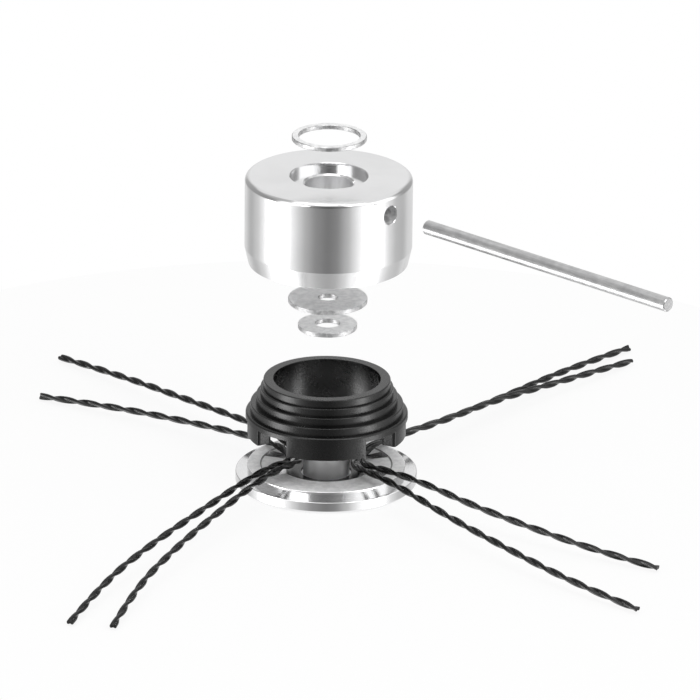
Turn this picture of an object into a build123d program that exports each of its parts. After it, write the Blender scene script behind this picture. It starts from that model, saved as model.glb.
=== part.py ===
from build123d import *
import math
import os

# Fixed line trimmer head, shown taken apart along its axis, in millimetres.
# The origin is the centre of the base's underside, and +Z runs up the axis. The pieces above the
# base stand lifted off their seats by the lifts below; taken down by them, they make the closed head.

# Cup: the turned cap that closes over the guide ring
cup_radius = 35.0
cup_height = 38.0
cup_wall = 2.7  # beside the cavity
cup_top_round = 2.2
cup_taper_height = 7.3
cup_taper = 1.65
cavity_depth = 20.0
cavity_round = 1.0
cavity_clearance = 0.2  # between the cavity's wall and the guide ring's seat step
cup_bore_radius = 10.1
cup_bore_chamfer = 0.7
ring_seat_depth = 3.0
ring_seat_chamfer = 0.3
ring_side_clearance = 0.6
cross_hole_drop = 8.8  # from the cup's top to the hole's centre
cross_hole_angle = -42.5  # from the X axis
cross_hole_sink = 0.25  # how much wider the hole's mouth is than the hole

# Guide ring: a stepped collar on four legs, with a gap for the lines between each two
band_overhang = 2.0  # past the seat step, under the cup's wall
middle_step_inset = 2.4
upper_step_inset = 1.8
rim_inset = 1.2
rim_width = 4.2
leg_inset = 0.8  # from the band
leg_thickness = 6.4
leg_half_angle = 30.75
leg_height = 7.3
band_height = 2.8
seat_step_height = 3.7
middle_step_height = 3.6
upper_step_height = 3.5
rim_height = 3.4
leg_corner_round = 1.5
step_round = 0.45
band_round = 0.9

# Base: a flanged plate with a pocket for the lines and a threaded column
flange_ledge = 4.9  # past the step
flange_thickness = 5.2
flange_chamfer = 1.3
step_height = 2.8
step_width = 5.5  # from the pocket's wall to the step's side
pocket_depth = 3.4
column_radius = 9.75
column_height = 26.0  # above the step's top
column_chamfer = 1.0
foot_groove_width = 0.9
foot_groove_depth = 0.6
thread_radius = 3.4  # wall of an M8 x 1.25 left-hand thread at its minor diameter
thread_depth = 24.0
thread_chamfer = 0.8
pad_height = 3.0  # of the raised pads round the pocket, with a notch between each two
side_pad_reach = 10.1  # in from the pocket's wall
side_pad_half_angle = 19.0
end_pad_reach = 7.8  # in from the pocket's wall
end_pad_half_angle = 57.0
edge_round = 0.35

# Spacer ring, washers and locking rod
spacer_outer_radius = 15.6
spacer_inner_radius = 12.7
spacer_thickness = 2.0
large_washer_radius = 16.6
large_washer_hole_radius = 4.0
small_washer_radius = 12.4
small_washer_hole_radius = 5.2
washer_thickness = 2.0
washer_round = 0.3
spacer_chamfer = 0.3
rod_radius = 3.0
rod_length = 131.6
rod_chamfer = 0.4
rod_side_clearance = 1.0

# Cutting line
line_diameter = 3.0

# Seats and lifts: each piece's gap on its seat, and how far it stands off that seat
seat_gap = 0.1
guide_lift = 14.0
small_washer_lift = 21.0
large_washer_lift = 9.5
cup_lift = 35.8
spacer_lift = 18.7
rod_start = 55.2  # from the axis to the rod's near end

# Radii that follow from the cup's, so that the cup, guide ring and base fit each other
cavity_radius = cup_radius - cup_wall
seat_step_radius = cavity_radius - cavity_clearance
middle_step_radius = seat_step_radius - middle_step_inset
upper_step_radius = middle_step_radius - upper_step_inset
rim_radius = upper_step_radius - rim_inset
guide_bore_radius = rim_radius - rim_width
band_radius = seat_step_radius + band_overhang
leg_outer_radius = band_radius - leg_inset
leg_inner_radius = leg_outer_radius - leg_thickness
step_radius = leg_outer_radius
flange_radius = step_radius + flange_ledge
pocket_radius = step_radius - step_width
groove_radius = column_radius + foot_groove_width
pad_outer_radius = pocket_radius + step_width / 2  # inside the step, so a pad joins its wall
side_pad_inner_radius = pocket_radius - side_pad_reach
end_pad_inner_radius = pocket_radius - end_pad_reach
ring_seat_radius = spacer_outer_radius + ring_side_clearance
cross_hole_radius = rod_radius + rod_side_clearance

# Levels of the seats in the closed head
seat_level = flange_thickness + step_height
pocket_floor = seat_level - pocket_depth
column_top = seat_level + column_height
guide_closed = seat_level + seat_gap
small_washer_closed = column_top + seat_gap
large_washer_closed = small_washer_closed + washer_thickness + seat_gap
cup_closed = guide_closed + leg_height + band_height + seat_gap

# Levels as the pieces stand apart, each one carried up by the lifts below it
guide_level = guide_closed + guide_lift
small_washer_level = small_washer_closed + guide_lift + small_washer_lift
large_washer_level = large_washer_closed + guide_lift + small_washer_lift + large_washer_lift
cup_level = cup_closed + guide_lift + small_washer_lift + large_washer_lift + cup_lift
cup_top = cup_level + cup_height
ring_seat_level = cup_top - ring_seat_depth
spacer_level = ring_seat_level + seat_gap + spacer_lift
cross_hole_level = cup_top - cross_hole_drop

# Direction in which the cross hole opens and the locking rod comes out
outward = Vector(1, 0, 0).rotate(Axis.Z, cross_hole_angle)

# Routes of the four cutting lines, from the front end to the back end, past the column
line_routes = {
    "line_left_outer": [
        (-102.5, -163.0, 1.8),
        (-89.5, -127.0, 5.3),
        (-71.0, -93.0, 8.3),
        (-50.0, -60.0, 11.0),
        (-33.0, -32.0, 12.7),
        (-22.4, -15.7, 12.6),
        (-16.6, -5.3, 10.3),
        (-15.1, 1.3, 9.3),
        (-16.0, 7.9, 9.0),
        (-19.2, 13.8, 9.6),
        (-25.4, 19.9, 10.2),
        (-38.2, 31.9, 9.0),
        (-60.0, 49.8, 7.0),
        (-91.0, 73.0, 4.2),
        (-123.5, 91.0, 1.9),
    ],
    "line_left_inner": [
        (-85.0, -166.5, 1.8),
        (-76.5, -133.0, 5.2),
        (-60.5, -96.0, 8.4),
        (-44.5, -64.5, 10.9),
        (-30.5, -38.0, 12.6),
        (-19.5, -18.3, 12.6),
        (-12.2, -4.6, 10.0),
        (-11.3, 2.8, 9.7),
        (-13.2, 9.8, 10.8),
        (-21.6, 21.5, 12.4),
        (-36.0, 42.8, 11.0),
        (-59.5, 71.0, 8.6),
        (-88.0, 107.0, 5.2),
        (-116.5, 138.3, 2.0),
    ],
    "line_right_outer": [
        (137.0, -98.0, 1.9),
        (112.8, -87.0, 4.6),
        (87.0, -71.0, 7.6),
        (61.2, -51.7, 10.2),
        (40.0, -31.0, 12.3),
        (22.6, -17.0, 12.6),
        (16.6, -7.6, 10.4),
        (15.0, 0.2, 9.6),
        (16.4, 8.0, 10.2),
        (21.0, 14.6, 11.7),
        (34.5, 27.0, 11.8),
        (50.0, 43.5, 11.0),
        (70.0, 71.5, 9.0),
        (98.0, 103.5, 5.6),
        (131.9, 141.0, 1.8),
    ],
    "line_right_inner": [
        (127.5, -143.0, 2.0),
        (104.0, -125.0, 4.9),
        (78.0, -97.2, 7.7),
        (52.0, -66.5, 10.3),
        (32.0, -39.0, 12.4),
        (17.4, -19.2, 12.2),
        (12.0, -7.6, 9.6),
        (11.3, 1.8, 8.4),
        (14.2, 11.0, 8.8),
        (20.6, 18.6, 10.2),
        (34.5, 33.5, 9.6),
        (51.0, 52.0, 8.4),
        (76.0, 85.0, 6.2),
        (104.0, 125.5, 3.8),
        (131.4, 157.3, 1.8),
    ],
}


def ring_sector(inner, outer, middle, half_angle):
    """Adds a sector of a flat ring to the open sketch, centred on a direction in degrees."""
    with BuildLine() as outline:
        far = CenterArc((0, 0), outer, middle - half_angle, 2 * half_angle)
        near = CenterArc((0, 0), inner, middle - half_angle, 2 * half_angle)
        Line(far @ 0, near @ 0)
        Line(far @ 1, near @ 1)
    make_face(outline.edges())


def bend_radii(points):
    """The radius of the arc at each inner point of a route, from its shorter run and its turn."""
    corners = [Vector(*p) for p in points]
    radii = []
    for before, corner, after in zip(corners, corners[1:], corners[2:]):
        half_turn = math.radians((corner - before).get_angle(after - corner)) / 2
        shorter = min((corner - before).length, (after - corner).length)
        radii.append(0.45 * shorter / math.tan(half_turn))
    return radii


os.makedirs("parts", exist_ok=True)

# Base
with BuildPart() as base:
    groove_floor = pocket_floor - foot_groove_depth
    with BuildSketch(Plane.XZ) as base_section:
        with BuildLine():
            Polyline(
                (0, 0),
                (flange_radius - flange_chamfer, 0),
                (flange_radius, flange_chamfer),
                (flange_radius, flange_thickness),
                (step_radius, flange_thickness),
                (step_radius, seat_level),
                (pocket_radius, seat_level),
                (pocket_radius, pocket_floor),
                (groove_radius, pocket_floor),
                (groove_radius, groove_floor),
                (column_radius, groove_floor),
                (column_radius, column_top - column_chamfer),
                (column_radius - column_chamfer, column_top),
                (thread_radius + thread_chamfer, column_top),
                (thread_radius, column_top - thread_chamfer),
                (thread_radius, column_top - thread_depth),
                (0, column_top - thread_depth),
                close=True,
            )
        make_face()
        corners = base_section.vertices()
        outer_tops = ((flange_radius, flange_thickness), (step_radius, seat_level))
        fillet([corners.sort_by_distance((r, z))[0] for r, z in outer_tops], edge_round)
    revolve(axis=Axis.Z)
    with BuildSketch(Plane.XY.offset(pocket_floor)):
        for side in (0, 180):
            ring_sector(side_pad_inner_radius, pad_outer_radius, side, side_pad_half_angle)
        for end in (90, 270):
            ring_sector(end_pad_inner_radius, pad_outer_radius, end, end_pad_half_angle)
    extrude(amount=pad_height)
base.part.label = "base"
export_step(base.part, "parts/base.step")

# Guide ring
with BuildPart() as guide_ring:
    leg_top = guide_level + leg_height
    band_top = leg_top + band_height
    seat_step_top = band_top + seat_step_height
    middle_step_top = seat_step_top + middle_step_height
    upper_step_top = middle_step_top + upper_step_height
    rim_top = upper_step_top + rim_height
    with BuildSketch(Plane.XZ) as collar_section:
        with BuildLine():
            Polyline(
                (guide_bore_radius, leg_top),
                (band_radius, leg_top),
                (band_radius, band_top),
                (seat_step_radius, band_top),
                (seat_step_radius, seat_step_top),
                (middle_step_radius, seat_step_top),
                (middle_step_radius, middle_step_top),
                (upper_step_radius, middle_step_top),
                (upper_step_radius, upper_step_top),
                (rim_radius, upper_step_top),
                (rim_radius, rim_top),
                (guide_bore_radius, rim_top),
                close=True,
            )
        make_face()
        corners = collar_section.vertices()
        step_tops = (
            (seat_step_radius, seat_step_top),
            (middle_step_radius, middle_step_top),
            (upper_step_radius, upper_step_top),
            (rim_radius, rim_top),
        )
        fillet([corners.sort_by_distance((r, z))[0] for r, z in step_tops], step_round)
        fillet(collar_section.vertices().sort_by_distance((band_radius, band_top))[0], band_round)
    revolve(axis=Axis.Z)
    with BuildSketch(Plane.XY.offset(guide_level)) as legs:
        for direction in (0, 90, 180, 270):
            ring_sector(leg_inner_radius, leg_outer_radius, direction, leg_half_angle)
        fillet(legs.vertices(), leg_corner_round)
    extrude(amount=leg_height)
guide_ring.part.label = "guide_ring"
export_step(guide_ring.part, "parts/guide_ring.step")

# Cup
with BuildPart() as cup:
    cavity_top = cup_level + cavity_depth
    with BuildSketch(Plane.XZ) as cup_section:
        with BuildLine():
            Polyline(
                (cavity_radius, cup_level),
                (cup_radius - cup_taper, cup_level),
                (cup_radius, cup_level + cup_taper_height),
                (cup_radius, cup_top),
                (ring_seat_radius + ring_seat_chamfer, cup_top),
                (ring_seat_radius, cup_top - ring_seat_chamfer),
                (ring_seat_radius, ring_seat_level),
                (cup_bore_radius + cup_bore_chamfer, ring_seat_level),
                (cup_bore_radius, ring_seat_level - cup_bore_chamfer),
                (cup_bore_radius, cavity_top),
                (cavity_radius, cavity_top),
                close=True,
            )
        make_face()
        fillet(cup_section.vertices().sort_by_distance((cup_radius, cup_top))[0], cup_top_round)
        fillet(cup_section.vertices().sort_by_distance((cavity_radius, cavity_top))[0], cavity_round)
    revolve(axis=Axis.Z)
    hole_mouth = Plane(origin=outward * cup_radius + Vector(0, 0, cross_hole_level), z_dir=outward)
    with Locations(hole_mouth):
        CounterSinkHole(
            radius=cross_hole_radius,
            counter_sink_radius=cross_hole_radius + cross_hole_sink,
            depth=cup_radius - cup_bore_radius / 2,
            counter_sink_angle=90,
        )
cup.part.label = "cup"
export_step(cup.part, "parts/cup.step")

# Spacer ring
with BuildPart() as spacer_ring:
    with BuildSketch(Plane.XY.offset(spacer_level)):
        Circle(spacer_outer_radius)
        Circle(spacer_inner_radius, mode=Mode.SUBTRACT)
    extrude(amount=spacer_thickness)
    chamfer(spacer_ring.edges(), spacer_chamfer)
spacer_ring.part.label = "spacer_ring"
export_step(spacer_ring.part, "parts/spacer_ring.step")

# Large washer
with BuildPart() as large_washer:
    with BuildSketch(Plane.XY.offset(large_washer_level)):
        Circle(large_washer_radius)
        Circle(large_washer_hole_radius, mode=Mode.SUBTRACT)
    extrude(amount=washer_thickness)
    fillet(large_washer.edges(), washer_round)
large_washer.part.label = "large_washer"
export_step(large_washer.part, "parts/large_washer.step")

# Small washer
with BuildPart() as small_washer:
    with BuildSketch(Plane.XY.offset(small_washer_level)):
        Circle(small_washer_radius)
        Circle(small_washer_hole_radius, mode=Mode.SUBTRACT)
    extrude(amount=washer_thickness)
    fillet(small_washer.edges(), washer_round)
small_washer.part.label = "small_washer"
export_step(small_washer.part, "parts/small_washer.step")

# Locking rod, on the cross hole's axis
with BuildPart() as locking_rod:
    rod_end = Plane(origin=outward * rod_start + Vector(0, 0, cross_hole_level), z_dir=outward)
    with BuildSketch(rod_end):
        Circle(rod_radius)
    extrude(amount=rod_length)
    chamfer(locking_rod.edges().filter_by(GeomType.CIRCLE), rod_chamfer)
locking_rod.part.label = "locking_rod"
export_step(locking_rod.part, "parts/locking_rod.step")

# Cutting lines
for name, points in line_routes.items():
    radii = bend_radii(points)
    with BuildPart() as cutting_line:
        with BuildLine():
            route = FilletPolyline(*points, radius=radii)
        with BuildSketch(Plane(origin=route @ 0, z_dir=route % 0)):
            Circle(line_diameter / 2)
        sweep(path=route)
    cutting_line.part.label = name
    export_step(cutting_line.part, f"parts/{name}.step")
    section = math.pi * line_diameter**2 / 4
    share = cutting_line.part.volume / (section * route.length)
    print(f"{name}: {route.length:.1f} mm long, volume {share:.4f} of section times length")
    print("  radii " + ", ".join(f"{radius:.0f}" for radius in radii))
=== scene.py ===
import math
import bmesh
import bpy
from mathutils import Matrix, Vector


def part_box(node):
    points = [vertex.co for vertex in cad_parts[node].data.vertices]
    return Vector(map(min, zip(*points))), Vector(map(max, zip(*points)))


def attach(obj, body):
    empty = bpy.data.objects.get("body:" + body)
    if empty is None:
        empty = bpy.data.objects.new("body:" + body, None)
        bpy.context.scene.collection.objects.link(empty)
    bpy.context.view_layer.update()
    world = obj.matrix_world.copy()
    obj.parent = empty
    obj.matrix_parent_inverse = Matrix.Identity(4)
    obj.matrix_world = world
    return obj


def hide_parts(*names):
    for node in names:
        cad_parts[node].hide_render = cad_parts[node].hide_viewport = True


# Looks of a fixed line trimmer head that is shown taken apart. The sizes of its hard pieces are in
# millimetres, as in the part's source, and MM turns them into Blender's metres. Cutting lines,
# camera and studio are in metres, and the scales of the patterns are per metre.

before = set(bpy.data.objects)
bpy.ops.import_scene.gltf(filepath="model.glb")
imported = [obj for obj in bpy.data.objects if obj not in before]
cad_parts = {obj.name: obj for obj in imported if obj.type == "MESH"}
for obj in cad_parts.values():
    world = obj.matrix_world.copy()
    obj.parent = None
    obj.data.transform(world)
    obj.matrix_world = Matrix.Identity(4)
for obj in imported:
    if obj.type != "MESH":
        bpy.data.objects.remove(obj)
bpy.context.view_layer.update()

MM = 0.001
AXIS = Vector((0, 0, 1))
TURN_STEPS = 256  # facets round a turned piece
ROUND_SEGMENTS = 8  # facets across a rounded edge
SHARP_ANGLE = math.radians(12)  # an edge that turns more than this stays crisp
CORNER_ANGLE = 1.0  # in radians: an edge of a block that turns more than this is a corner
NEAR = 0.002 * MM  # how close two places are to count as one
SOFT_EDGE = 0.2  # how far one finish runs into the next

# Base
BASE_UNDERSIDE = 0.0
FLANGE_RADIUS = 38.2
FLANGE_TOP = 5.2
FLANGE_CHAMFER = 1.3
STEP_RADIUS = 33.3
STEP_TOP = 8.0
POCKET_RADIUS = 27.8
POCKET_FLOOR = 4.6
COLUMN_RADIUS = 9.75
COLUMN_TOP = 34.0
COLUMN_CHAMFER = 1.0
GROOVE_RADIUS = 10.65
GROOVE_FLOOR = 4.0
THREAD_RADIUS = 3.4
THREAD_BOTTOM = 10.0
THREAD_CHAMFER = 0.8
PAD_OUTER_RADIUS = 30.5
PAD_HEIGHT = 3.0
SIDE_PAD = (17.7, 19.0)  # inner radius and half angle
END_PAD = (20.0, 57.0)
BASE_EDGE = 0.35
SINK = 0.4  # how deep a pad or leg runs into what it grows out of
POCKET_SHADE_RADII = (14.0, 18.0)  # painted shade: the pocket floor is dark up to the first radius, pale from the second
# A thin painted shade darkens the pads where they meet the step's wall.
CORNER_SHADE_START = 0.7  # how far inside the pocket's radius the painted shade in the pads' corner starts
CORNER_SHADE_FULL = 0.3
CORNER_SHADE_END = 0.1  # how far outside that radius it ends

# Guide ring, heights from its underside
GUIDE_BORE_RADIUS = 22.5
BAND_RADIUS = 34.1
BAND_ROUND = 0.9
LEG_OUTER_RADIUS = 33.3
LEG_INNER_RADIUS = 26.9
LEG_HALF_ANGLE = 30.75
LEG_HEIGHT = 7.3
LEG_CORNER_ROUND = 1.5
BAND_TOP = 10.1
GUIDE_STEPS = ((32.1, 13.8), (29.7, 17.4), (27.9, 20.9), (26.7, 24.3))  # radius and top of each
STEP_ROUND = 0.45

# Cup, heights from its lower edge
CUP_RADIUS = 35.0
CUP_HEIGHT = 38.0
CUP_TOP_ROUND = 2.2
CUP_TAPER_HEIGHT = 7.3
CUP_TAPER = 1.65
CAVITY_RADIUS = 32.3
CAVITY_DEPTH = 20.0
CAVITY_ROUND = 1.0
CUP_BORE_RADIUS = 10.1
CUP_BORE_CHAMFER = 0.7
RING_SEAT_RADIUS = 16.2
RING_SEAT_DEPTH = 3.0
RING_SEAT_CHAMFER = 0.3
CROSS_HOLE_RADIUS = 4.0
CROSS_HOLE_DROP = 8.8
COUNTERSINK = 0.25  # of the cross hole
DRILL_OVERRUN = 1.0  # how far outside the wall the drill starts
HOLE_SLACK = 0.05  # a face this near to the hole's radius is part of its wall
SIDE_ON = 0.1  # and so small a part of its normal points along the hole
CUP_EDGE = 0.2

# Washers, spacer ring and rod
LARGE_WASHER = (16.6, 4.0)  # outer and inner radius
SMALL_WASHER = (12.4, 5.2)
WASHER_THICKNESS = 2.0
WASHER_ROUND = 0.3
SPACER_RING = (15.6, 12.7)
SPACER_CHAMFER = 0.3
ROD_RADIUS = 3.0
ROD_CHAMFER = 0.4
ROD_LENGTH = 131.6
ROD_START = 55.2
ROD_LEVEL = 127.8
ROD_STEPS = 96  # facets round the rod and its hole
ROD_TURN = math.radians(-42.5)
OUTWARD = Vector((math.cos(ROD_TURN), math.sin(ROD_TURN), 0))  # from the axis along the rod

# Cutting lines: two strands twisted together
LINE_DIAMETER = 0.003
TWIST_PITCH = 0.024  # one full turn of the twist
LINE_SHARP_ANGLE = math.radians(50)
ROUTE_STEPS = 64  # runs between two points of a route
SECTION_STEPS = 2  # and between two points of the section
# Half of the outline across both strands, and half the width that the whole comes out at
LINE_SECTION = ((1.9, 0.0), (1.45, 1.05), (0.62, 0.95), (0.0, 0.42), (-0.62, 0.95), (-1.45, 1.05))
LINE_SECTION_REACH = 1.75
LINE_ROUTES = {
    "line_left_outer": (
        (-0.1025, -0.163, 0.0018),
        (-0.0895, -0.127, 0.0053),
        (-0.071, -0.093, 0.0083),
        (-0.05, -0.06, 0.011),
        (-0.033, -0.032, 0.0127),
        (-0.0224, -0.0157, 0.0126),
        (-0.0166, -0.0053, 0.0103),
        (-0.0151, 0.0013, 0.0093),
        (-0.016, 0.0079, 0.009),
        (-0.0192, 0.0138, 0.0096),
        (-0.0254, 0.0199, 0.0102),
        (-0.0382, 0.0319, 0.009),
        (-0.06, 0.0498, 0.007),
        (-0.091, 0.073, 0.0042),
        (-0.1235, 0.091, 0.0019),
    ),
    "line_left_inner": (
        (-0.085, -0.1665, 0.0018),
        (-0.0765, -0.133, 0.0052),
        (-0.0605, -0.096, 0.0084),
        (-0.0445, -0.0645, 0.0109),
        (-0.0305, -0.038, 0.0126),
        (-0.0195, -0.0183, 0.0126),
        (-0.0122, -0.0046, 0.01),
        (-0.0113, 0.0028, 0.0097),
        (-0.0132, 0.0098, 0.0108),
        (-0.0216, 0.0215, 0.0124),
        (-0.036, 0.0428, 0.011),
        (-0.0595, 0.071, 0.0086),
        (-0.088, 0.107, 0.0052),
        (-0.1165, 0.1383, 0.002),
    ),
    "line_right_outer": (
        (0.137, -0.098, 0.0019),
        (0.1128, -0.087, 0.0046),
        (0.087, -0.071, 0.0076),
        (0.0612, -0.0517, 0.0102),
        (0.04, -0.031, 0.0123),
        (0.0226, -0.017, 0.0126),
        (0.0166, -0.0076, 0.0104),
        (0.015, 0.0002, 0.0096),
        (0.0164, 0.008, 0.0102),
        (0.021, 0.0146, 0.0117),
        (0.0345, 0.027, 0.0118),
        (0.05, 0.0435, 0.011),
        (0.07, 0.0715, 0.009),
        (0.098, 0.1035, 0.0056),
        (0.1319, 0.141, 0.0018),
    ),
    "line_right_inner": (
        (0.1275, -0.143, 0.002),
        (0.104, -0.125, 0.0049),
        (0.078, -0.0972, 0.0077),
        (0.052, -0.0665, 0.0103),
        (0.032, -0.039, 0.0124),
        (0.0174, -0.0192, 0.0122),
        (0.012, -0.0076, 0.0096),
        (0.0113, 0.0018, 0.0084),
        (0.0142, 0.011, 0.0088),
        (0.0206, 0.0186, 0.0102),
        (0.0345, 0.0335, 0.0096),
        (0.051, 0.052, 0.0084),
        (0.076, 0.085, 0.0062),
        (0.104, 0.1255, 0.0038),
        (0.1314, 0.1573, 0.0018),
    ),
}


# Shader maths
class Value:
    """An output socket that can stand in a sum: each operation adds one Math node."""

    def __init__(self, maker, socket):
        self.maker = maker
        self.socket = socket

    def __add__(self, other):
        return self.maker.math("ADD", self, other)

    def __radd__(self, other):
        return self.maker.math("ADD", other, self)

    def __sub__(self, other):
        return self.maker.math("SUBTRACT", self, other)

    def __rsub__(self, other):
        return self.maker.math("SUBTRACT", other, self)

    def __mul__(self, other):
        return self.maker.math("MULTIPLY", self, other)

    def __rmul__(self, other):
        return self.maker.math("MULTIPLY", other, self)

    def __truediv__(self, other):
        return self.maker.math("DIVIDE", self, other)

    def __rtruediv__(self, other):
        return self.maker.math("DIVIDE", other, self)

    def __neg__(self):
        return self.maker.math("MULTIPLY", self, -1)

    def __abs__(self):
        return self.maker.math("ABSOLUTE", self)

    def root(self):
        return self.maker.math("SQRT", self)

    def between(self, low, high):
        """0 below low, 1 above high and a smooth step from one to the other."""
        return self.maker.node(
            "MapRange",
            {"interpolation_type": "SMOOTHSTEP"},
            {"Value": self, "From Min": low, "From Max": high},
        )


class Maker:
    """Adds nodes to one node tree."""

    def __init__(self, tree):
        self.tree = tree

    def node(self, kind, settings=None, inputs=None, output=0):
        """A node of a kind, with its settings, then its inputs as values or links."""
        added = self.tree.nodes.new("ShaderNode" + kind)
        for key, setting in (settings or {}).items():
            if key == "stops":
                self.set_stops(added.color_ramp, setting)
            elif key == "interpolation":
                added.color_ramp.interpolation = setting
            else:
                setattr(added, key, setting)
        for key, value in (inputs or {}).items():
            self.feed(added.inputs[key], value)
        return Value(self, added.outputs[output])

    def set_stops(self, ramp, stops):
        """Gives a colour ramp its stops, each a place from 0 to 1 and a grey tone."""
        while len(ramp.elements) < len(stops):
            ramp.elements.new(0.5)
        for stop, (place, tone) in zip(ramp.elements, stops):
            stop.position = place
            stop.color = (tone, tone, tone, 1)

    def feed(self, socket, value):
        """Links or sets a socket. A number on a colour's socket is a grey."""
        if isinstance(value, Value):
            self.tree.links.new(value.socket, socket)
        elif socket.type == "RGBA" and isinstance(value, (int, float)):
            socket.default_value = (value, value, value, 1)
        elif socket.type == "RGBA":
            socket.default_value = (*value, 1)
        else:
            socket.default_value = value

    def math(self, operation, *values):
        return self.node("Math", {"operation": operation}, dict(enumerate(values)))

    def parts(self, vector):
        """The x, y and z of a vector."""
        return [self.node("SeparateXYZ", None, {0: vector}, axis) for axis in range(3)]

    def joined(self, x, y, z):
        return self.node("CombineXYZ", None, {0: x, 1: y, 2: z})

    def place(self):
        return self.node("TexCoord", output="Object")

    def levelness(self):
        """1 on a face that lies level, 0 on one that stands upright."""
        return abs(self.parts(self.node("TexCoord", output="Normal"))[2]).between(0.75, 0.95)

    def noise(self, place, scale, detail=2.0, roughness=0.5):
        inputs = {"Vector": place, "Scale": scale, "Detail": detail, "Roughness": roughness}
        return self.node("TexNoise", None, inputs)

    def grain(self, height, distance, strength=1.0):
        """The normal of a surface with a fine relief that is as deep as distance."""
        inputs = {"Height": height, "Distance": distance, "Strength": strength}
        return self.node("Bump", None, inputs)

    def blend(self, share, first, second):
        """A colour between two colours."""
        return self.node(
            "Mix", {"data_type": "RGBA"}, {"Factor": share, 6: first, 7: second}, output=2
        )


# Finishes. Each pair of tones is the darker and the paler one that a finish runs between.
CUP_TONE = (0.9, 0.9, 0.905)
BASE_TONE = (0.92, 0.92, 0.925)
STAIN = 0.95  # how much of a turned face's tone is left where it is stained
SATIN_TONES = ((0.78, 0.78, 0.785), 0.97)
# painted shade on the pocket floor: dark round the column, paler beyond
POCKET_SHADE_TONES = (0.05, 0.7)
# tone of the thin painted shade where the pads meet the step's wall
CORNER_SHADE_TONE = 0.22
DRILLED_TONES = ((0.5, 0.5, 0.505), 0.95)
ZINC_FACE_TONES = ((0.74, 0.745, 0.75), 0.96)
ZINC_RIM_TONES = ((0.42, 0.42, 0.425), 0.82)
ZINC_FACE_METALLIC = 0.25
ROD_TONES = ((0.46, 0.46, 0.465), 0.68)
BLACK_TONES = (0.002, 0.005)
SNIPPED_TONES = (0.2, 0.5)


def finish(name, pattern, constants=None):
    """A material on the Principled shader. The pattern gives what varies, and the constants what
    is the same all over."""
    material = bpy.data.materials.new(name)
    material.use_nodes = True
    maker = Maker(material.node_tree)
    shader = maker.tree.nodes["Principled BSDF"]
    for key, value in {**(constants or {}), **pattern(maker)}.items():
        maker.feed(shader.inputs[key], value)
    return material


def turned(tone, roughness, feed, depth):
    """Metal cut on a lathe: fine rings that follow the tool, a feed apart, and long scratches."""

    def pattern(maker):
        place = maker.place()
        x, y, z = maker.parts(place)
        travel = (x * x + y * y).root() + z
        cuts = maker.joined(travel / feed, x * 12, y * 12)
        rings = maker.noise(cuts, 1.0, detail=3.0, roughness=0.6)
        broad = maker.noise(maker.joined(travel / (feed * 9), x * 20, y * 20), 1.0)
        stains = maker.noise(place, 55.0, detail=3.0)
        scratches = maker.noise(maker.joined(x * 900, y * 900, z * 45), 1.0).between(0.7, 0.76)
        stained = [STAIN * part for part in tone]
        return {
            "Base Color": maker.blend(stains.between(0.3, 0.75), tone, stained),
            "Roughness": roughness + (rings - 0.5) * 0.08 + (broad - 0.5) * 0.05 + scratches * 0.1,
            "Normal": maker.grain(rings + broad * 0.5 + scratches * 0.6, depth),
        }

    return pattern


def base_metal(maker):
    """Turned like the cup, with a satin face on the step and the pads, a dull column, a pocket
    floor darkened round the column with painted shade, and a thin line of painted shade on the
    pads beside the step."""
    found = turned(BASE_TONE, roughness=0.12, feed=0.0003, depth=0.000008)(maker)
    x, y, z = maker.parts(maker.place())
    radius = (x * x + y * y).root()
    edge = POCKET_RADIUS * MM
    column = 1 - radius.between((GROOVE_RADIUS - SOFT_EDGE) * MM, GROOVE_RADIUS * MM)
    above_floor = z.between(POCKET_FLOOR * MM, STEP_TOP * MM)
    in_pocket = 1 - radius.between(edge, PAD_OUTER_RADIUS * MM)
    floor = (1 - above_floor) * (1 - column) * in_pocket
    satin = maker.levelness() * above_floor * (1 - column)
    # a thin painted shade in the corner where the pads meet the step's wall
    in_corner_shade = radius.between(edge - CORNER_SHADE_START * MM, edge - CORNER_SHADE_FULL * MM)
    corner_shade = in_corner_shade * (1 - radius.between(edge, edge + CORNER_SHADE_END * MM)) * satin
    # painted shade: the pocket floor darkens towards the column
    painted_floor_shade = maker.blend(radius.between(*(limit * MM for limit in POCKET_SHADE_RADII)), *POCKET_SHADE_TONES)
    metal = maker.blend(floor, found["Base Color"], painted_floor_shade)
    cloud = maker.noise(maker.place(), 330.0, detail=4.0, roughness=0.6).between(0.35, 0.65)
    metal = maker.blend(satin, metal, maker.blend(cloud, *SATIN_TONES))
    found["Base Color"] = maker.blend(corner_shade, metal, CORNER_SHADE_TONE)
    found["Metallic"] = 1 - satin * 0.9 - column * 0.3
    found["Roughness"] = found["Roughness"] + satin * 0.3 + column * 0.28 + floor * 0.1
    return found


def cup_metal(maker):
    """Turned, and duller in the bore, which a drill and a reamer made."""
    found = turned(CUP_TONE, roughness=0.14, feed=0.00022, depth=0.000012)(maker)
    x, y, z = maker.parts(maker.place())
    radius = (x * x + y * y).root()
    bore = 1 - radius.between(CUP_BORE_RADIUS * MM, (CUP_BORE_RADIUS + SOFT_EDGE) * MM)
    found["Roughness"] = found["Roughness"] + bore * 0.22
    return found


def drilled(maker):
    """The rough wall that a drill leaves."""
    fine = maker.noise(maker.place(), 520.0, detail=4.0, roughness=0.6)
    return {
        "Base Color": maker.blend(fine.between(0.3, 0.7), *DRILLED_TONES),
        "Roughness": 0.45 + fine * 0.15,
        "Normal": maker.grain(fine, 0.00008, strength=0.6),
    }


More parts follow.
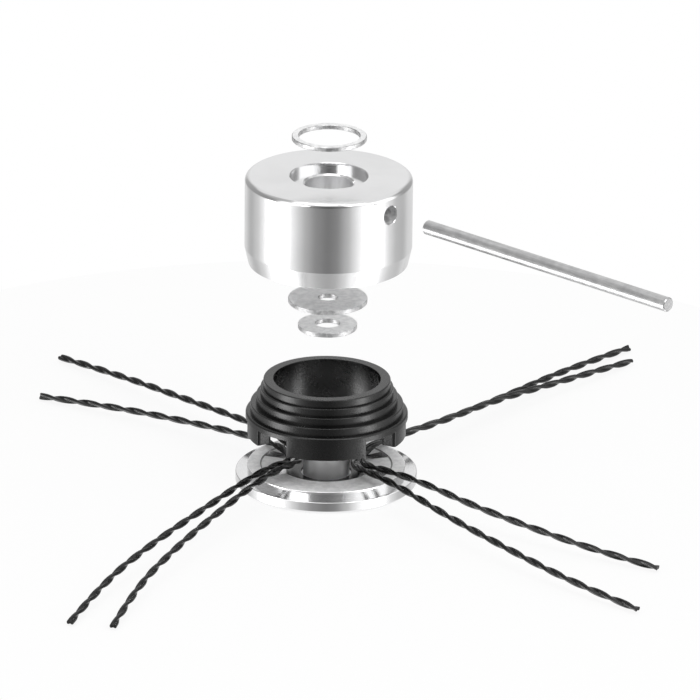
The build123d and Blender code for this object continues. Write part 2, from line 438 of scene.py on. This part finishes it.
def zinc_plated(rim_metallic):
    """Plated steel: a mottled satin skin with small stains and pits, duller on the cut edges."""

    def pattern(maker):
        place = maker.place()
        cloud = maker.noise(place, 420.0, detail=4.0, roughness=0.65)
        specks = maker.noise(place, 1500.0)
        patches = maker.node("TexVoronoi", {"feature": "F1"}, {"Vector": place, "Scale": 420.0})
        mottle = cloud.between(0.35, 0.65) * 0.75 + patches.between(0.1, 0.9) * 0.25
        rim = 1 - maker.levelness()
        face_tone = maker.blend(mottle, *ZINC_FACE_TONES)
        rim_tone = maker.blend(mottle, *ZINC_RIM_TONES)
        return {
            "Base Color": maker.blend(rim, face_tone, rim_tone),
            "Metallic": ZINC_FACE_METALLIC + rim * (rim_metallic - ZINC_FACE_METALLIC),
            "Roughness": 0.3 + cloud * 0.16 + specks * 0.05,
            "Normal": maker.grain(cloud * 0.7 + specks * 0.3, 0.00005, strength=0.6),
        }

    return pattern


def drawn_steel(maker):
    """Drawn rod: scratches along its length, and a duller, mottled plating."""
    place = maker.node("Mapping", None, {"Vector": maker.place(), "Rotation": (0, 0, -ROD_TURN)})
    along, across, height = maker.parts(place)
    streaked = maker.joined(along * 40, across * 900, height * 900)
    streaks = maker.noise(streaked, 1.0, detail=3.0, roughness=0.6)
    cloud = maker.noise(place, 240.0, detail=3.0)
    mottle = streaks.between(0.3, 0.7) * 0.5 + cloud.between(0.3, 0.7) * 0.5
    return {
        "Base Color": maker.blend(mottle, *ROD_TONES),
        "Roughness": 0.26 + streaks * 0.08 + cloud * 0.06,
        "Normal": maker.grain(streaks * 0.7 + cloud * 0.3, 0.00002, strength=0.4),
    }


def moulded_black(maker):
    """Glass-filled nylon out of a spark-eroded mould: an even grain with fine paler specks."""
    place = maker.place()
    fine = maker.noise(place, 1300.0, detail=4.0, roughness=0.7)
    broad = maker.noise(place, 160.0, detail=3.0)
    return {
        "Base Color": maker.blend(fine.between(0.4, 0.75), *BLACK_TONES),
        "Roughness": 0.2 + broad * 0.06 + fine * 0.1,
        "Normal": maker.grain(fine, 0.0001, strength=0.4),
    }


def black_nylon(maker):
    """Extruded line: smooth and glossy, with faint drawing marks and dust."""
    place = maker.place()
    broad = maker.noise(place, 120.0, detail=3.0)
    fine = maker.noise(place, 1800.0)
    return {
        "Base Color": maker.blend(broad.between(0.4, 0.8), *BLACK_TONES),
        "Roughness": 0.14 + broad * 0.1 + fine * 0.06,
        "Normal": maker.grain(fine, 0.00003, strength=0.4),
    }


def cut_nylon(maker):
    """The whitened face where the line was snipped."""
    fine = maker.noise(maker.place(), 2500.0, detail=3.0)
    return {
        "Base Color": maker.blend(fine, *SNIPPED_TONES),
        "Roughness": 0.5 + fine * 0.2,
    }


CUP_METAL = finish("fine_turned_aluminium", cup_metal, {"Metallic": 1.0, "Anisotropic": 0.4})
BASE_METAL = finish("polished_aluminium", base_metal, {"Anisotropic": 0.4})
DRILLED = finish("drilled_aluminium", drilled, {"Metallic": 0.3})
WASHER_ZINC = finish("zinc_plated_washers", zinc_plated(rim_metallic=0.55))
SPACER_ZINC = finish("zinc_plated_spacer", zinc_plated(rim_metallic=0.95))
ROD_STEEL = finish("drawn_rod_steel", drawn_steel, {"Metallic": 0.85})
GUIDE_PLASTIC = finish("moulded_black_nylon", moulded_black, {"Specular IOR Level": 0.6})
LINE_NYLON = finish("glossy_black_nylon", black_nylon)
LINE_CUT = finish("snipped_nylon", cut_nylon)


# Camera: the photograph's view, from the front and a little above, through a long lens
CAMERA_ELEVATION = math.radians(20.75)
CAMERA_ROLL = math.radians(0.6)
CAMERA_DISTANCE = 3.77
CAMERA_LOOKS_AT = Vector((0.0095, 0, 0.0591))
CAMERA_REACH = 20
SENSOR_WIDTH = 36.0
PICTURE_WIDTH = 700  # in pixels
FOCAL_PIXELS = 9000


def add_camera():
    look = Vector((0, math.cos(CAMERA_ELEVATION), -math.sin(CAMERA_ELEVATION)))
    level = Vector((1, 0, 0))
    upward = level.cross(look)
    right = math.cos(CAMERA_ROLL) * level + math.sin(CAMERA_ROLL) * upward
    top = math.cos(CAMERA_ROLL) * upward - math.sin(CAMERA_ROLL) * level
    lens = bpy.data.cameras.new("camera")
    lens.sensor_width = SENSOR_WIDTH
    lens.lens = FOCAL_PIXELS / PICTURE_WIDTH * SENSOR_WIDTH
    lens.clip_end = CAMERA_REACH
    camera = bpy.data.objects.new("camera", lens)
    camera.matrix_world = Matrix.Translation(CAMERA_LOOKS_AT - CAMERA_DISTANCE * look) @ Matrix(
        (right, top, -look)
    ).transposed().to_4x4()
    bpy.context.scene.collection.objects.link(camera)
    bpy.context.scene.camera = camera


add_camera()


# Making pieces
def shown(name, mesh):
    made = bpy.data.objects.new(name, mesh)
    bpy.context.scene.collection.objects.link(made)
    return made


def worked_out(made):
    """The mesh that an object's curve or modifiers come out at."""
    bpy.context.view_layer.update()
    graph = bpy.context.evaluated_depsgraph_get()
    return bpy.data.meshes.new_from_object(made.evaluated_get(graph))


def mesh_of(curve):
    drawn = shown("drawn", curve)
    mesh = worked_out(drawn)
    bpy.data.objects.remove(drawn)
    return mesh


def face_outward(mesh):
    """Merges the doubles of a closed mesh and turns its faces outwards."""
    shape = bmesh.new()
    shape.from_mesh(mesh)
    bmesh.ops.remove_doubles(shape, verts=shape.verts, dist=NEAR)
    bmesh.ops.recalc_face_normals(shape, faces=shape.faces)
    shape.to_mesh(mesh)
    shape.free()


def dress(made, material, body, node):
    """Gives a finished piece its material, and its place among the CAD's bodies and nodes."""
    made.data.materials.append(material)
    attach(made, body)
    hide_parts(node)
    return made


# Cutting lines
def route_curve(points):
    """A route as one smooth spline that twists as it runs."""
    curve = bpy.data.curves.new("route", "CURVE")
    curve.dimensions = "3D"
    curve.twist_mode = "MINIMUM"
    curve.resolution_u = ROUTE_STEPS
    spline = curve.splines.new("NURBS")
    spline.points.add(len(points) - 1)
    run = 0.0
    for point, place, before in zip(spline.points, points, (points[0], *points)):
        run += (Vector(place) - Vector(before)).length
        point.co = (*place, 1)
        point.tilt = 2 * math.pi * run / TWIST_PITCH
    spline.order_u = 3
    spline.use_endpoint_u = True
    return curve


def line_section():
    """The outline of two strands side by side, across the line."""
    scale = LINE_DIAMETER / 2 / LINE_SECTION_REACH
    half = [(x * scale, y * scale) for x, y in LINE_SECTION]
    section = bpy.data.curves.new("section", "CURVE")
    section.dimensions = "2D"
    section.resolution_u = SECTION_STEPS
    spline = section.splines.new("NURBS")
    spline.points.add(2 * len(half) - 1)
    for point, (x, y) in zip(spline.points, half + [(-x, -y) for x, y in half]):
        point.co = (x, y, 0, 1)
    spline.order_u = 4
    spline.use_cyclic_u = True
    return shown("section", section)


def cutting_line(name, points):
    path = [vertex.co.copy() for vertex in mesh_of(route_curve(points)).vertices]
    length = sum((b - a).length for a, b in zip(path, path[1:]))
    section = line_section()
    curve = route_curve(points)
    curve.bevel_mode = "OBJECT"
    curve.bevel_object = section
    curve.use_fill_caps = True
    mesh = mesh_of(curve)
    bpy.data.objects.remove(section)
    face_outward(mesh)
    made = dress(shown("twisted_" + name, mesh), LINE_NYLON, "base_and_lines", name)
    mesh.materials.append(LINE_CUT)
    for face in mesh.polygons:
        if len(face.vertices) > 4:  # only the snipped ends have more than four corners
            face.material_index = 1
    mesh.shade_smooth()
    mesh.set_sharp_from_angle(angle=LINE_SHARP_ANGLE)


for line_name, line_points in LINE_ROUTES.items():
    cutting_line(line_name, line_points)


# Turned and moulded shapes
def radius_of(place):
    return math.hypot(place.x, place.y)


def round_edges(shape, edges, radius):
    bmesh.ops.bevel(
        shape,
        geom=edges,
        offset=radius * MM,
        offset_type="OFFSET",
        segments=ROUND_SEGMENTS,
        profile=0.5,
        affect="EDGES",
        material=-1,
    )


def is_at(vertex, radius, height):
    off_radius = abs(radius_of(vertex.co) - radius * MM)
    return off_radius < NEAR and abs(vertex.co.z - height * MM) < NEAR


def lathe(outline, rounds=(), steps=TURN_STEPS):
    """A closed outline of (radius, height) points spun round the Z axis. Each round is a corner of
    the outline and the radius that it gets."""
    shape = bmesh.new()
    corners = [shape.verts.new((radius * MM, 0, height * MM)) for radius, height in outline]
    for start, end in zip(corners, corners[1:] + corners[:1]):
        if radius_of(start.co) > NEAR or radius_of(end.co) > NEAR:
            shape.edges.new((start, end))
    bmesh.ops.spin(
        shape,
        geom=shape.verts[:] + shape.edges[:],
        cent=(0, 0, 0),
        axis=AXIS,
        angle=2 * math.pi,
        steps=steps,
        use_merge=True,
    )
    bmesh.ops.remove_doubles(shape, verts=shape.verts, dist=NEAR)
    bmesh.ops.recalc_face_normals(shape, faces=shape.faces)
    for (radius, height), size in rounds:
        ring = [
            edge
            for edge in shape.edges
            if all(is_at(vertex, radius, height) for vertex in edge.verts)
        ]
        round_edges(shape, ring, size)
    return shape


def sector(inner, outer, bottom, top, middle, half_angle, corner_round=0.0):
    """An upright block on a sector of a flat ring, centred on a direction in degrees."""
    shape = bmesh.new()
    turn = Matrix.Rotation(math.radians(middle - half_angle), 3, "Z")
    ends = [
        shape.verts.new(turn @ Vector((radius * MM, 0, bottom * MM)))
        for radius in (inner, outer)
    ]
    run = shape.edges.new(ends)
    bmesh.ops.spin(
        shape,
        geom=ends + [run],
        cent=(0, 0, 0),
        axis=AXIS,
        angle=math.radians(2 * half_angle),
        steps=round(2 * half_angle * TURN_STEPS / 360),
    )
    upper = bmesh.ops.extrude_face_region(shape, geom=shape.faces[:])["geom"]
    bmesh.ops.translate(
        shape,
        verts=[part for part in upper if isinstance(part, bmesh.types.BMVert)],
        vec=AXIS * (top - bottom) * MM,
    )
    bmesh.ops.recalc_face_normals(shape, faces=shape.faces)
    if corner_round:
        corners = [
            edge
            for edge in shape.edges
            if abs(edge.verts[0].co.z - edge.verts[1].co.z) > MM
            and edge.calc_face_angle(0) > CORNER_ANGLE
        ]
        round_edges(shape, corners, corner_round)
    return shape


def point_outward(shape, start):
    """Lays a shape that stands at the origin along OUTWARD, from a place in millimetres."""
    aim = Matrix.Translation(start * MM) @ OUTWARD.to_track_quat("Z", "Y").to_matrix().to_4x4()
    bmesh.ops.transform(shape, matrix=aim, verts=shape.verts)


def together(shapes):
    """Several shapes that don't meet, as one."""
    whole = bmesh.new()
    for shape in shapes:
        mesh = bpy.data.meshes.new("part")
        shape.to_mesh(mesh)
        shape.free()
        whole.from_mesh(mesh)
        bpy.data.meshes.remove(mesh)
    return whole


def loose(shape):
    """A shape as an object of its own."""
    mesh = bpy.data.meshes.new("shape")
    shape.to_mesh(mesh)
    shape.free()
    return shown("shape", mesh)


def changed(shape, tool, operation):
    """The shape with a tool joined to it (UNION) or cut from it (DIFFERENCE), as one mesh."""
    main, other = loose(shape), loose(tool)
    change = main.modifiers.new("change", "BOOLEAN")
    change.operation = operation
    change.solver = "EXACT"
    change.object = other
    result = bmesh.new()
    result.from_mesh(worked_out(main))
    for used in (main, other):
        bpy.data.objects.remove(used)
    return result


def piece(name, shape, material, body, node):
    """A finished hard piece: smooth where it curves, crisp at its edges."""
    mesh = bpy.data.meshes.new(name)
    shape.to_mesh(mesh)
    shape.free()
    mesh.shade_smooth()
    mesh.set_sharp_from_angle(angle=SHARP_ANGLE)
    made = dress(shown(name, mesh), material, body, node)
    even = made.modifiers.new("even_shading", "WEIGHTED_NORMAL")
    even.keep_sharp = True
    even.weight = 100  # the largest faces decide, so flat faces stay flat beside a round
    return made


def height_of(node):
    """The level of a node's underside in the part, in millimetres."""
    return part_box(node)[0].z / MM


def raised(points, level):
    return [(radius, height + level) for radius, height in points]


# Base
def make_base():
    outline = (
        (0, BASE_UNDERSIDE),
        (FLANGE_RADIUS - FLANGE_CHAMFER, BASE_UNDERSIDE),
        (FLANGE_RADIUS, BASE_UNDERSIDE + FLANGE_CHAMFER),
        (FLANGE_RADIUS, FLANGE_TOP),
        (STEP_RADIUS, FLANGE_TOP),
        (STEP_RADIUS, STEP_TOP),
        (POCKET_RADIUS, STEP_TOP),
        (POCKET_RADIUS, POCKET_FLOOR),
        (GROOVE_RADIUS, POCKET_FLOOR),
        (GROOVE_RADIUS, GROOVE_FLOOR),
        (COLUMN_RADIUS, GROOVE_FLOOR),
        (COLUMN_RADIUS, COLUMN_TOP - COLUMN_CHAMFER),
        (COLUMN_RADIUS - COLUMN_CHAMFER, COLUMN_TOP),
        (THREAD_RADIUS + THREAD_CHAMFER, COLUMN_TOP),
        (THREAD_RADIUS, COLUMN_TOP - THREAD_CHAMFER),
        (THREAD_RADIUS, THREAD_BOTTOM),
        (0, THREAD_BOTTOM),
    )
    rounds = (
        ((FLANGE_RADIUS, FLANGE_TOP), BASE_EDGE),
        ((STEP_RADIUS, STEP_TOP), BASE_EDGE),
        ((POCKET_RADIUS, STEP_TOP), BASE_EDGE / 2),
        ((GROOVE_RADIUS, POCKET_FLOOR), BASE_EDGE / 2),
    )
    bottom, top = POCKET_FLOOR - SINK, POCKET_FLOOR + PAD_HEIGHT
    pads = [
        sector(inner, PAD_OUTER_RADIUS, bottom, top, direction, half_angle)
        for (inner, half_angle), directions in ((SIDE_PAD, (0, 180)), (END_PAD, (90, 270)))
        for direction in directions
    ]
    shape = changed(lathe(outline, rounds), together(pads), "UNION")
    piece("polished_base", shape, BASE_METAL, "base_and_lines", "base")


# Guide ring
def make_guide_ring():
    level = height_of("guide_ring")
    outline = [(GUIDE_BORE_RADIUS, LEG_HEIGHT), (BAND_RADIUS, LEG_HEIGHT), (BAND_RADIUS, BAND_TOP)]
    rounds = [((BAND_RADIUS, BAND_TOP + level), BAND_ROUND)]
    tread = BAND_TOP
    for radius, top in GUIDE_STEPS:
        outline += [(radius, tread), (radius, top)]
        rounds.append(((radius, top + level), STEP_ROUND))
        tread = top
    outline.append((GUIDE_BORE_RADIUS, tread))
    rounds.append(((GUIDE_BORE_RADIUS, tread + level), STEP_ROUND / 2))
    legs = [
        sector(
            LEG_INNER_RADIUS,
            LEG_OUTER_RADIUS,
            level,
            level + LEG_HEIGHT + SINK,
            direction,
            LEG_HALF_ANGLE,
            LEG_CORNER_ROUND,
        )
        for direction in (0, 90, 180, 270)
    ]
    shape = changed(lathe(raised(outline, level), rounds), together(legs), "UNION")
    piece("moulded_guide_ring", shape, GUIDE_PLASTIC, "guide_ring", "guide_ring")


# Cup
def make_cup():
    level = height_of("cup")
    seat = CUP_HEIGHT - RING_SEAT_DEPTH
    hole_height = CUP_HEIGHT - CROSS_HOLE_DROP
    margin = CROSS_HOLE_RADIUS + COUNTERSINK + CUP_EDGE
    outline = (
        (CAVITY_RADIUS, 0),
        (CUP_RADIUS - CUP_TAPER, 0),
        (CUP_RADIUS, CUP_TAPER_HEIGHT),
        (CUP_RADIUS, hole_height - margin),  # split here to keep the faces at the hole short
        (CUP_RADIUS, hole_height + margin),
        (CUP_RADIUS, CUP_HEIGHT),
        (RING_SEAT_RADIUS + RING_SEAT_CHAMFER, CUP_HEIGHT),
        (RING_SEAT_RADIUS, CUP_HEIGHT - RING_SEAT_CHAMFER),
        (RING_SEAT_RADIUS, seat),
        (CUP_BORE_RADIUS + CUP_BORE_CHAMFER, seat),
        (CUP_BORE_RADIUS, seat - CUP_BORE_CHAMFER),
        (CUP_BORE_RADIUS, CAVITY_DEPTH),
        (CAVITY_RADIUS, CAVITY_DEPTH),
    )
    rounds = (
        ((CUP_RADIUS, CUP_HEIGHT + level), CUP_TOP_ROUND),
        ((CAVITY_RADIUS, CAVITY_DEPTH + level), CAVITY_ROUND),
        ((CUP_RADIUS - CUP_TAPER, level), CUP_EDGE),
        ((CAVITY_RADIUS, level), CUP_EDGE),
    )
    reach = CUP_RADIUS - CUP_BORE_RADIUS / 2
    drill = lathe(
        (
            (0, -reach),
            (CROSS_HOLE_RADIUS, -reach),
            (CROSS_HOLE_RADIUS, -COUNTERSINK),
            (CROSS_HOLE_RADIUS + COUNTERSINK + DRILL_OVERRUN, DRILL_OVERRUN),
            (0, DRILL_OVERRUN),
        ),
        steps=ROD_STEPS,
    )
    mouth = OUTWARD * CUP_RADIUS + AXIS * (level + hole_height)
    point_outward(drill, mouth)
    shape = changed(lathe(raised(outline, level), rounds), drill, "DIFFERENCE")
    for face in shape.faces:
        offset = face.calc_center_median() - mouth * MM
        depth = offset.dot(OUTWARD)
        on_wall = (offset - depth * OUTWARD).length < (CROSS_HOLE_RADIUS + HOLE_SLACK) * MM
        side_on = abs(face.normal.dot(OUTWARD)) < SIDE_ON
        face.material_index = int(on_wall and side_on and depth > -reach * MM)
    cup = piece("turned_cup", shape, CUP_METAL, "cup", "cup")
    cup.data.materials.append(DRILLED)


# Washers, spacer ring and rod
def make_washer(name, node, radii):
    """A flat ring with its four edges rounded."""
    outer, inner = radii
    level = height_of(node)
    top = level + WASHER_THICKNESS
    corners = ((inner, level), (outer, level), (outer, top), (inner, top))
    shape = lathe(corners, [(corner, WASHER_ROUND) for corner in corners])
    piece(name, shape, WASHER_ZINC, node, node)


def make_spacer_ring():
    """As thick as a washer, with its four edges chamfered."""
    outer, inner = SPACER_RING
    level = height_of("spacer_ring")
    top = level + WASHER_THICKNESS
    shape = lathe(
        (
            (inner + SPACER_CHAMFER, level),
            (outer - SPACER_CHAMFER, level),
            (outer, level + SPACER_CHAMFER),
            (outer, top - SPACER_CHAMFER),
            (outer - SPACER_CHAMFER, top),
            (inner + SPACER_CHAMFER, top),
            (inner, top - SPACER_CHAMFER),
            (inner, level + SPACER_CHAMFER),
        )
    )
    piece("plated_spacer_ring", shape, SPACER_ZINC, "spacer_ring", "spacer_ring")


def make_rod():
    tip = ROD_RADIUS - ROD_CHAMFER
    shape = lathe(
        (
            (0, 0),
            (tip, 0),
            (ROD_RADIUS, ROD_CHAMFER),
            (ROD_RADIUS, ROD_LENGTH - ROD_CHAMFER),
            (tip, ROD_LENGTH),
            (0, ROD_LENGTH),
        ),
        steps=ROD_STEPS,
    )
    point_outward(shape, OUTWARD * ROD_START + AXIS * ROD_LEVEL)
    piece("drawn_rod", shape, ROD_STEEL, "locking_rod", "locking_rod")


make_base()
make_guide_ring()
make_cup()
make_washer("plated_large_washer", "large_washer", LARGE_WASHER)
make_washer("plated_small_washer", "small_washer", SMALL_WASHER)
make_spacer_ring()
make_rod()

# Studio: a dark room in front, soft boxes at both sides and above, and a floor that reflections
# don't show. A tone goes with a compass angle in degrees: 0 is straight in front of the object,
# where the camera is, 90 is to the camera's right and -90 to its left.
FLOOR_RADIUS = 0.27
FLOOR_TONE = 0.9
FLOOR_GLOW = 0.88  # how much of what the camera sees of the floor is plain white, without shadows
# How high a direction points, from -1 straight down to 1 straight up, where tones give way
GROUND = (-0.75, -0.4)
HORIZON = (-0.32, -0.16)
CEILING = (0.48, 0.62)
GROUND_GLOW = 0.22  # what the ground adds to the low tones
LAMPS = (  # name, place, size and watts
    ("overhead", (-0.2, -0.3, 1.2), 0.8, 2.6),
    ("front", (0.75, -0.85, 1.0), 0.6, 4.0),
    ("low", (-0.85, -1.1, 0.5), 0.6, 1.6),
)
LOW_TONES = (  # with two narrow bright boxes that give the black moulding its shine
    (-180, 0.78),
    (-161, 0.75),
    (-132, 0.48),
    (-115, 0.63),
    (-101, 0.92),
    (-94, 1.2),
    (-86, 5.0),
    (-65, 5.0),
    (-58, 1.25),
    (-49, 0.9),
    (-40, 0.66),
    (-31, 0.45),
    (-15, 0.27),
    (0, 0.2),
    (10, 0.24),
    (27, 0.5),
    (35, 0.78),
    (44, 1.05),
    (52, 1.25),
    (58, 5.2),
    (73, 5.2),
    (79, 1.2),
    (85, 1.0),
    (94, 0.74),
    (107, 0.54),
    (123, 0.5),
    (143, 0.72),
    (180, 0.78),
)
HIGH_TONES = (
    (-180, 0.85),
    (-166, 0.75),
    (-150, 0.4),
    (-118, 0.34),
    (-88, 0.3),
    (-76, 0.35),
    (-67, 1.3),
    (-58, 1.3),
    (-48, 1.1),
    (-36, 0.7),
    (-22, 0.2),
    (0, 0.1),
    (22, 0.22),
    (36, 0.75),
    (48, 1.1),
    (60, 1.3),
    (95, 1.3),
    (106, 0.5),
    (118, 0.34),
    (150, 0.4),
    (166, 0.75),
    (180, 0.85),
)
TOP_TONES = ((-180, 0.85), (-140, 0.82), (-118, 0.5), (-80, 0.45), (-55, 0.82), (180, 0.85))


def compass(maker, angle, tones):
    """A tone for each direction. The angle is given as a share of the whole turn."""
    stops = [(0.5 + degrees / 360, tone) for degrees, tone in tones]
    return maker.node("ValToRGB", {"interpolation": "EASE", "stops": stops}, {"Fac": angle})


def light_world():
    world = bpy.data.worlds.new("studio")
    bpy.context.scene.world = world
    world.use_nodes = True
    maker = Maker(world.node_tree)
    x, y, z = maker.parts(maker.node("TexCoord", output="Generated"))
    angle = maker.math("ARCTAN2", x, -y) / (2 * math.pi) + 0.5
    low = compass(maker, angle, LOW_TONES) + (1 - z.between(*GROUND)) * GROUND_GLOW
    walls = maker.blend(z.between(*HORIZON), low, compass(maker, angle, HIGH_TONES))
    tone = maker.blend(z.between(*CEILING), walls, compass(maker, angle, TOP_TONES))
    camera_ray = maker.node("LightPath", output="Is Camera Ray")
    background = maker.tree.nodes["Background"]
    maker.feed(background.inputs["Color"], maker.blend(camera_ray, tone, 1.0))
    background.inputs["Strength"].default_value = 1.0


def add_floor():
    """A round floor that is nearly white to the camera, with the object's soft shadows on it."""
    shape = bmesh.new()
    bmesh.ops.create_circle(shape, cap_ends=True, radius=FLOOR_RADIUS, segments=128)
    floor = loose(shape)
    floor.name = "floor"
    material = bpy.data.materials.new("floor")
    material.use_nodes = True
    maker = Maker(material.node_tree)
    maker.tree.nodes.remove(maker.tree.nodes["Principled BSDF"])
    camera_ray = maker.node("LightPath", output="Is Camera Ray")
    glossy_ray = maker.node("LightPath", output="Is Glossy Ray")
    paper = maker.node("BsdfDiffuse", None, {"Color": FLOOR_TONE})
    white = maker.node("Emission", None, {"Color": 1.0, "Strength": 1.0})
    clear = maker.node("BsdfTransparent", None, {"Color": 1.0})
    seen = maker.node("MixShader", None, {0: camera_ray * FLOOR_GLOW, 1: paper, 2: white})
    whole = maker.node("MixShader", None, {0: glossy_ray, 1: seen, 2: clear})
    output = maker.tree.nodes["Material Output"]
    maker.feed(output.inputs["Surface"], whole)
    floor.data.materials.append(material)


def add_lamp(name, place, size, watts):
    lamp = bpy.data.lights.new(name, "AREA")
    lamp.size = size
    lamp.energy = watts
    holder = bpy.data.objects.new(name, lamp)
    holder.location = place
    holder.rotation_euler = (-Vector(place)).to_track_quat("-Z", "Y").to_euler()
    bpy.context.scene.collection.objects.link(holder)


light_world()
add_floor()
for name_place_size_watts in LAMPS:
    add_lamp(*name_place_size_watts)
bpy.context.scene.view_settings.view_transform = "Standard"
